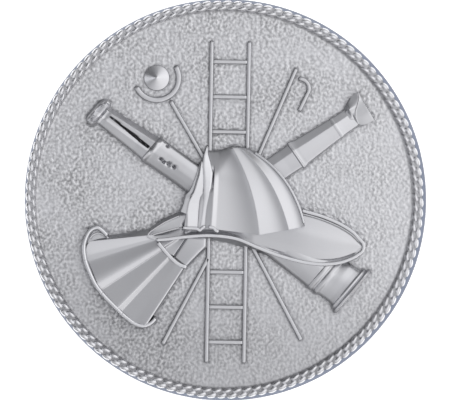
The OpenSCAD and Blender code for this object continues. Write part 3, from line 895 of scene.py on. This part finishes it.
# x, foot of the near wall, near edge, crease, far edge, height behind the crease as a share of BRIM_H
BRIM_ROWS = [
    (-4.92, -2.4, -2.36, -2.2, -2.1, 0.84), (-4.8, -2.5, -2.42, -2.2, -1.8, 0.86),
    (-4.4, -2.6, -2.52, -2.14, -1.5, 0.88), (-3.75, -2.62, -2.48, -1.97, -1.1, 0.9),
    (-2.87, -2.52, -2.36, -1.72, -0.72, 0.92), (-1.6, -2.5, -2.25, -1.6, -0.5, 0.95),
    (-0.4, -2.56, -2.27, -1.67, -0.45, 1), (0.8, -2.9, -2.48, -1.84, -0.45, 1),
    (2, -3.32, -2.98, -2.22, -0.45, 1.05), (3.3, -3.7, -3.48, -2.58, -0.44, 1.15),
    (4.75, -4.05, -3.88, -2.94, -0.66, 1.25), (6, -4.2, -4.04, -3.17, -1.0, 1.2),
    (7.1, -4.12, -3.96, -3.22, -1.46, 1.1), (7.95, -3.82, -3.68, -3.13, -1.98, 1),
    (8.42, -3.52, -3.4, -3.0, -2.46, 0.95), (8.62, -3.3, -3.22, -2.95, -2.68, 0.9),
    (8.7, -3.1, -3.02, -2.93, -2.84, 0.88),
]


def brim():
    rows = []
    for x, foot, near, crease, far, share in along(soften(BRIM_ROWS, 2), 150):
        high = BRIM_H * share
        # 1 on the flat left end, along the wired right part, and where the crown's foot is sunk in
        front = ease((-1.2 - x) / 0.8)
        wired = ease((x - 2) / 2) * ease((8.3 - x) / 0.5)
        sunk = ease((1.8 - x) / 1.4) * ease((x + 2.75) / 0.3)
        level = BRIM_H * 0.3 + high * 0.66
        section = [
            # Near wall and edge
            (foot, 0.05), (near - 0.03, 0.82), (near + 0.08, 0.84 + 0.03 * front - 0.06 * sunk),
            # Groove inside the edge, where the wire lies
            (near + 0.16, 0.85 - 0.12 * wired - 0.14 * sunk - 0.01 * front),
            (near + 0.28, 0.86 + 0.01 * wired - 0.27 * sunk - 0.07 * front),
            # Two sides of the crease
            (crease - 0.05, level - 0.44 * sunk - 0.18 * front * (1 - sunk)),
            (crease + 0.03, level - 0.44 * sunk + 0.01 * front),
            # Broad top and far edge
            (near * 0.4 + far * 0.6, high * (1 - 0.05 * front)),
            (far - 0.08 - 0.16 * front, BRIM_H * 0.84), (far, BRIM_H * (0.74 - 0.12 * front)),
        ]
        line = rounded(section, (0.2, 0.4, 0.3, 0.3, 0.9 - 0.7 * front, 0.9 - 0.7 * front, 0.9, 0.4))
        rows.append([(x, y, z) for y, z in line])
    return form("brim", rows)


brim()

# %% Wired edge of the brim
near_edge = [(row[0], row[2]) for row in BRIM_ROWS]
far_edge = [(row[0], row[4]) for row in BRIM_ROWS]
# Beads inside the edge, at the right, at the left and along the crease of the left part
brim_beads = [
    [(x, y - 0.2) for x, y in far_edge[9:-2]],
    [*[(x, y - 0.27) for x, y in far_edge[4:0:-1]], (-4.93, -2.36)],
    [(-4.6, -2.2), (-4.2, -2.09), (-3.75, -1.97), (-2.87, -1.72)],
]
brim_wire = [*near_edge[2:], *far_edge[:9:-1]]
wire = [(*p, BRIM_H - 0.05) for p in brim_wire]
beads = [[(*p, BRIM_H - 0.1) for p in path] for path in brim_beads]
bars("brim_wire", [wire], half_w=0.11, high=0.14, step=0.05, material=highlight_silver)
bars("brim_beads", beads, half_w=0.05, high=0.1, step=0.05)

# %% [markdown]
# ## Rope border
#
# A rope is the same strand over and over, so it is instanced: a circle of points, and on each one a
# strand of two plump grains that lean across the border. Modelling all of them by hand could follow
# each chip of the real one, but it would be no use on another pin. A small random size keeps the rope
# from looking machined, and the seed is fixed, so the same rope comes out every time. The dies met a
# little off centre, so the rope lies to the left and its bevel is wider on the right.

# %% One strand of the rope
STRANDS, ROPE_W, ROPE_H, BEVEL_W = 120, 0.62, 0.4, 0.25
ROPE_R = DISC_R - 0.5
ROPE_MID = np.array([-0.07, 0.02])
# How much lower the rope is at its edges, and a grain at its own
ROPE_ROUND, GRAIN_ROUND = 0.06, 0.13
# Middle outward and round the rim, half length, half width, lean inward in degrees
STRAND_GRAINS = [(0.17, -0.15, 0.33, 0.18, 14), (-0.15, 0.16, 0.33, 0.165, 18)]
GRAIN_SECTORS, GRAIN_RINGS = 12, (0.45, 0.8, 1.0)


def plump_grain(first, out, round_rim, long, wide, lean):
    """The points and faces of one closed grain, with its points numbered from first."""
    axis, side = turned(90 + lean), turned(lean)
    every = range(GRAIN_SECTORS)

    def point(share, k):
        spread = turned(360 * k / GRAIN_SECTORS) * share
        x, y = np.array([out, round_rim]) + axis * long * spread[0] + side * wide * spread[1]
        high = ROPE_H - ROPE_ROUND * (2 * x / ROPE_W) ** 2 - GRAIN_ROUND * share**2
        return (x, y, high)

    def at(ring, k):
        return first + 1 + ring * GRAIN_SECTORS + k % GRAIN_SECTORS

    points = [point(0, 0), *[point(ring, k) for ring in GRAIN_RINGS for k in every]]
    points += [(*point(1, k)[:2], SINK) for k in every]
    faces = [(first, at(0, k), at(0, k + 1)) for k in every]
    faces += [
        (at(r, k), at(r + 1, k), at(r + 1, k + 1), at(r, k + 1))
        for r in range(len(GRAIN_RINGS))
        for k in every
    ]
    faces.append([at(len(GRAIN_RINGS), k) for k in every][::-1])
    return points, faces


def strand():
    points, faces = [], []
    for row in STRAND_GRAINS:
        more_points, more_faces = plump_grain(len(points), *row)
        points += more_points
        faces += more_faces
    return new_mesh("strand", points, faces)


# %% Rope tree
def rope_tree():
    tree, given = new_group(
        "rope", {"Radius": "Float", "Strands": "Int", "Seed": "Int", "Material": "Material"}
    )
    ring = tree.node(
        "GeometryNodeMeshCircle", values={"Vertices": given["Strands"], "Radius": given["Radius"]}
    )
    place = tree.node("GeometryNodeInputPosition")
    parts = tree.node("ShaderNodeSeparateXYZ", values={"Vector": place}).socket.node
    x, y = (Wire(tree, parts.outputs[axis]) for axis in "XY")
    turn = tree.node("ShaderNodeMath", {"operation": "ARCTAN2"}, {0: y, 1: x})
    heading = tree.node("ShaderNodeCombineXYZ", values={"Z": turn})
    rough = tree.node(
        "FunctionNodeRandomValue", {"data_type": "FLOAT"}, {2: 0.96, 3: 1.03, "Seed": given["Seed"]}, out=1
    )
    spread = tree.node(
        "GeometryNodeInstanceOnPoints",
        values={"Points": ring, "Instance": given["Geometry"], "Rotation": heading, "Scale": rough},
    )
    skin = tree.node("GeometryNodeRealizeInstances", values={"Geometry": spread})
    skin = tree.node("GeometryNodeSetMaterial", values={"Geometry": skin, "Material": given["Material"]})
    tree.node("NodeGroupOutput", values={"Geometry": skin})
    return tree.node_tree


rope_sizes = {"Radius": ROPE_R, "Strands": STRANDS, "Seed": 4, "Material": highlight_silver}
rope_mesh = grow("rope_border", rope_tree(), strand(), rope_sizes)
rope_mesh.transform(Matrix.Translation((*ROPE_MID, 0)))
rope = seat("rope_border", rope_mesh, highlight_silver, smooth_angle=60)

# %% [markdown]
# ## Field and blank
#
# The blank is a disc with a bevelled edge and a plain back. Its field is a square grid bent to a
# circle, which keeps the cells even from the middle to the edge. The pebbled grain is real relief,
# not only bump, for it shows at the low angles from which a pin is looked at. A noise moves each
# point up or down, and fades out beside the raised forms and under the rope. A shallow groove lies
# round each form with painted shade in it, and painted shade also darkens the field beside and under
# the rope and towards its lower side. The field, the bevel with its painted reflection and the plain
# rest of the blank are three metals.


# %% How near each point of the field is to a raised form
def read(piece, what):
    """The places (co) or the normals of a piece's vertices, one row each."""
    values = np.empty(len(piece.data.vertices) * 3)
    piece.data.vertices.foreach_get(what, values)
    return values.reshape(-1, 3)


edge_points = []
for piece in pieces:
    if piece is rope:
        continue
    co = read(piece, "co") / MM
    ends = np.array([e.vertices[:] for e in piece.data.edges])
    a, b = co[ends[:, 0]], co[ends[:, 1]]
    crossing = (a[:, 2] - FIELD) * (b[:, 2] - FIELD) < 0
    a, b = a[crossing], b[crossing]
    t = (FIELD - a[:, 2:]) / (b[:, 2:] - a[:, 2:])
    edge_points.append((a + (b - a) * t)[:, :2])
edge_points = np.vstack(edge_points)
tree_of_edges = kdtree.KDTree(len(edge_points))
for i, (x, y) in enumerate(edge_points):
    tree_of_edges.insert((x, y, 0), i)
tree_of_edges.balance()
print(len(edge_points), "points where a raised form meets the field")

# %% A square grid bent to a circle
FIELD_CELLS = 292
FLAT_R = DISC_R - BEVEL_W


def round_grid(cells, radius):
    """A square grid of points, bent to a circle so that its cells stay even."""
    side = np.linspace(-1, 1, cells + 1)
    u, v = np.meshgrid(side, side, indexing="ij")
    wide = np.abs(u) > np.abs(v)
    r = np.where(wide, u, v)
    with np.errstate(divide="ignore", invalid="ignore"):
        turn = np.where(wide, np.pi / 4 * v / u, np.pi / 2 - np.pi / 4 * u / v)
    turn = np.nan_to_num(turn, nan=0.0)
    return np.stack([r * np.cos(turn), r * np.sin(turn)], -1) * radius


grid = round_grid(FIELD_CELLS, FLAT_R).reshape(-1, 2) + ROPE_MID
gaps = np.array([tree_of_edges.find((x, y, 0))[2] for x, y in grid])
inside = ROPE_R - ROPE_W / 2 - np.linalg.norm(grid - ROPE_MID, axis=1)
print(len(grid), "points in the field")

# %% Height, painted shade and pits of the field
GRAIN, GRAIN_H, GRAIN_SEED = 0.26, 0.013, 7.3
GROOVE_W, GROOVE_H, ROPE_BED = 0.07, 0.015, 0.27
# The grain fades out over this width beside a form, and the bed starts this far under the rope
FADE, BED_FROM = 0.1, 0.02
# Painted shade in the grooves, beside the rope and under it, towards the lower side of the field, and the
# most of all
GROOVE_SHADE, ROPE_EDGE_SHADE, BED_SHADE, FOOT_SHADE, MOST_SHADE = 0.22, 0.3, 0.36, 0.2, 0.8

wave = np.array([noise.noise(Vector((x / GRAIN, y / GRAIN, GRAIN_SEED))) for x, y in grid])
groove = np.exp(-((gaps / GROOVE_W) ** 2))
under_rope = -BED_FROM - inside
field_z = GRAIN_H * wave * ease(gaps / FADE) * ease(inside / FADE) - GROOVE_H * groove
field_z += ROPE_BED * ease(under_rope / 0.08)
# Painted shade: darker towards the lower side, in the grooves, and beside and under the rope
field_shade = FOOT_SHADE * ease((-grid[:, 1] - 0.1 * grid[:, 0] - 1) / 10) + GROOVE_SHADE * groove
field_shade += ROPE_EDGE_SHADE * np.exp(-((inside / 0.06) ** 2)) + BED_SHADE * ease(under_rope / 0.06)
field_shade = np.clip(field_shade, 0, MOST_SHADE)
# Fewer pits towards the right and lower side, which makes the field lighter there, and none under the rope
field_unpitted = 0.5 * ease((grid[:, 0] - 0.6 * grid[:, 1] + 3) / 14)
field_unpitted = np.maximum(field_unpitted, ease((0.05 - inside) / 0.05))

# %% Blank
# Radius and height down the edge, the foot of the bevel with its painted reflection, and the painted shade on
# the wall below it
EDGE = [(DISC_R - 0.1, -0.16), (DISC_R, -0.45), (DISC_R, -PLATE_T + 0.15), (DISC_R - 0.15, -PLATE_T)]
BEVEL_FOOT, EDGE_WALL_SHADE = -0.4, 0.5
BEVEL_SLOT, PLAIN_SLOT = 1, 2


def write(mesh, title, values):
    """Give the metals an attribute to read, one number at each vertex."""
    marks = mesh.attributes.new(title, "FLOAT", "POINT")
    marks.data.foreach_set("value", np.asarray(values, np.float32))


def blank():
    n = FIELD_CELLS
    loop = (
        [(i, 0) for i in range(n)] + [(n, j) for j in range(n)]
        + [(i, n) for i in range(n, 0, -1)] + [(0, j) for j in range(n, 0, -1)]
    )
    ring = np.array([i * (n + 1) + j for i, j in loop])
    reach = np.linalg.norm(grid[ring], axis=1)
    way = grid[ring] / reach[:, None]
    edge = soften([(FLAT_R, ROPE_BED), *EDGE], 1)[1:]
    points, faces = [np.column_stack([grid, field_z])], []
    start, inner = len(grid), ring
    m = len(ring)
    for r, level in edge:
        out = DISC_R - (DISC_R - r) * (DISC_R - reach) / BEVEL_W
        points.append(np.column_stack([way * out[:, None], np.full(m, level)]))
        outer = np.arange(start, start + m)
        faces += [(inner[k], outer[k], outer[(k + 1) % m], inner[(k + 1) % m]) for k in range(m)]
        inner, start = outer, start + m
    faces.append(inner[::-1])
    cell = [(i * (n + 1) + j) for i in range(n) for j in range(n)]
    faces += [(c, c + n + 1, c + n + 2, c + 1) for c in cell]
    mesh = new_mesh("blank", np.vstack(points), faces)
    # Painted shade on the side wall below the bevel
    wall = [EDGE_WALL_SHADE if level <= BEVEL_FOOT else 0 for _, level in edge for _ in range(m)]
    write(mesh, "dirt", [*field_shade, *wall])
    write(mesh, "worn", [*field_unpitted, *[1] * len(wall)])
    made = seat("blank", mesh, field_silver, smooth_angle=60)
    mesh.materials.append(reflection_bevel_silver)
    mesh.materials.append(relief_silver)
    slots = np.zeros(len(mesh.polygons), np.int32)
    slots[: len(mesh.polygons) - len(cell)] = PLAIN_SLOT
    for k, (_, level) in enumerate(edge):
        if level > BEVEL_FOOT:
            slots[k * m : (k + 1) * m] = BEVEL_SLOT
    mesh.polygons.foreach_set("material_index", slots)
    return made


blank_piece = blank()

# %% [markdown]
# ## Painted shade at the feet and on the walls
#
# Each raised form gets painted shade at its foot and on its steep walls, where the light reaches least,
# and a duller gloss there. Baked occlusion would find these places too, but it needs an image. The height
# above the field and the tilt of the surface are enough, so the attribute is written for each piece in one
# pass.

# %% Write the painted shade attribute
# The painted shade at a foot and on a wall, how high the foot reaches, and the share of both on the rope
BASE_SHADE, WALL_SHADE, FOOT_H, ROPE_SHARE = 0.6, 0.55, 0.12, 0.5
# A normal's upward part on a wall that is steep, and how much more makes it flat
STEEP, MORE = 0.35, 0.4

for piece in pieces:
    if piece is blank_piece:
        continue
    foot = 1 - ease((read(piece, "co")[:, 2] / MM - FIELD) / FOOT_H)
    wall = 1 - ease((read(piece, "normal")[:, 2] - STEEP) / MORE)
    # Painted shade, darkest at a form's foot and on its steep walls
    dirt = np.maximum(BASE_SHADE * foot, WALL_SHADE * wall) * (ROPE_SHARE if piece is rope else 1)
    write(piece.data, "dirt", dirt)
print("dirt written on", len(pieces), "pieces")

# %% [markdown]
# ## Hand the pieces over
#
# Everything rides on the one body. The struck pieces stand for the CAD disc, and the nails and
# clutches stay as the CAD made them, with their own metal.

# %% Ride, replace and dress
for piece in pieces:
    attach(piece, "root")
    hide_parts("disc")
for name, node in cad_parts.items():
    if name != "disc":
        node.data.materials.clear()
        node.data.materials.append(nickel if "clutch" in name else nail_brass)

# %% [markdown]
# ## Stage, light and camera
#
# The pin lies on a pale light table under a wide soft sky that is bright on the right and dark on the
# left. Metal shows what it mirrors, so this sky draws every slope of the relief. Lamps alone would
# leave most slopes black. The camera looks straight down from a third of a metre.

# %% Floor
bpy.ops.mesh.primitive_grid_add(size=1.2, x_subdivisions=4, y_subdivisions=4)
floor = bpy.context.object
floor.name = "floor"
paper = bpy.data.materials.new("light_table")
paper.use_nodes = True
paper_surface = paper.node_tree.nodes["Principled BSDF"]
paper_surface.inputs["Base Color"].default_value = (0.86, 0.86, 0.86, 1)
paper_surface.inputs["Roughness"].default_value = 0.9
paper_surface.inputs["Emission Color"].default_value = (1, 1, 1, 1)
paper_surface.inputs["Emission Strength"].default_value = 0.9
floor.data.materials.append(paper)

# %% Sky
# The bright side, and a window that the slopes facing the upper left mirror
BRIGHT_SIDE, WINDOW = (0.9, -0.43, 0.0), (-0.84, -0.05, 0.54)
# The sky's mean brightness and how much it swings, and the colours of its dark and bright side
MEAN, SWING = 0.605, 0.57
COOL, WARM = (0.97, 0.985, 1.03), (1, 0.995, 1)

world = bpy.data.worlds.new("studio_sky")
scene.world = world
world.use_nodes = True
world.node_tree.nodes.clear()
sky = Tree(world.node_tree)
direction = sky.node("ShaderNodeTexCoord", out="Generated")


def towards(aim):
    """How far a ray points at a place in the sky, from -1 to 1."""
    return sky.node("ShaderNodeVectorMath", {"operation": "DOT_PRODUCT"}, {0: direction, 1: aim}, "Value")


height = sky.node("ShaderNodeSeparateXYZ", values={"Vector": direction}, out="Z")
over_horizon = remap(sky, height, (0.0, 0.75), (0.08, 1.0), "SMOOTHSTEP")
to_light = towards(BRIGHT_SIDE)
window = remap(sky, towards(WINDOW), (0.95, 0.985), (0.0, 0.75), "SMOOTHSTEP")
level = over_horizon * (to_light * SWING + MEAN) + window
colour = mix(sky, to_light * 0.5 + 0.5, COOL, WARM)
background = sky.node("ShaderNodeBackground", values={"Color": colour, "Strength": level})
sky.node("ShaderNodeOutputWorld", values={"Surface": background})
print("sky:", len(world.node_tree.nodes), "nodes")


# %% Lamps
def lamp(name, place, aim, size, power):
    """A round area lamp, with its places and size in metres and its power in watts."""
    data = bpy.data.lights.new(name, "AREA")
    data.shape = "DISK"
    data.size = size
    data.energy = power
    made = bpy.data.objects.new(name, data)
    made.location = place
    made.rotation_euler = (Vector(place) - Vector(aim)).to_track_quat("Z", "Y").to_euler()
    made.visible_camera = False
    scene.collection.objects.link(made)
    return made


lamp("soft_card", place=(0.05, 0.045, 0.09), aim=(0, 0, FIELD * MM), size=0.13, power=0.01)

# %% Camera
# Millimetres a pixel, the photograph's width in pixels, and the pixel it looks at, from the middle
PX, PHOTO_W, AIM_X, AIM_Y = 0.0631, 450, -0.55, -0.07
CAMERA_UP, SENSOR = 0.35, 36
camera_data = bpy.data.cameras.new("camera")
camera = bpy.data.objects.new("camera", camera_data)
scene.collection.objects.link(camera)
camera.location = (AIM_X * PX * MM, AIM_Y * PX * MM, FIELD * MM + CAMERA_UP)
camera_data.sensor_width = SENSOR
camera_data.lens = SENSOR * CAMERA_UP / (PHOTO_W * PX * MM)
camera_data.clip_start = 0.01
scene.camera = camera
scene.view_settings.view_transform = "Standard"
print(f"camera {CAMERA_UP} m above the field, lens {camera_data.lens:.0f} mm")
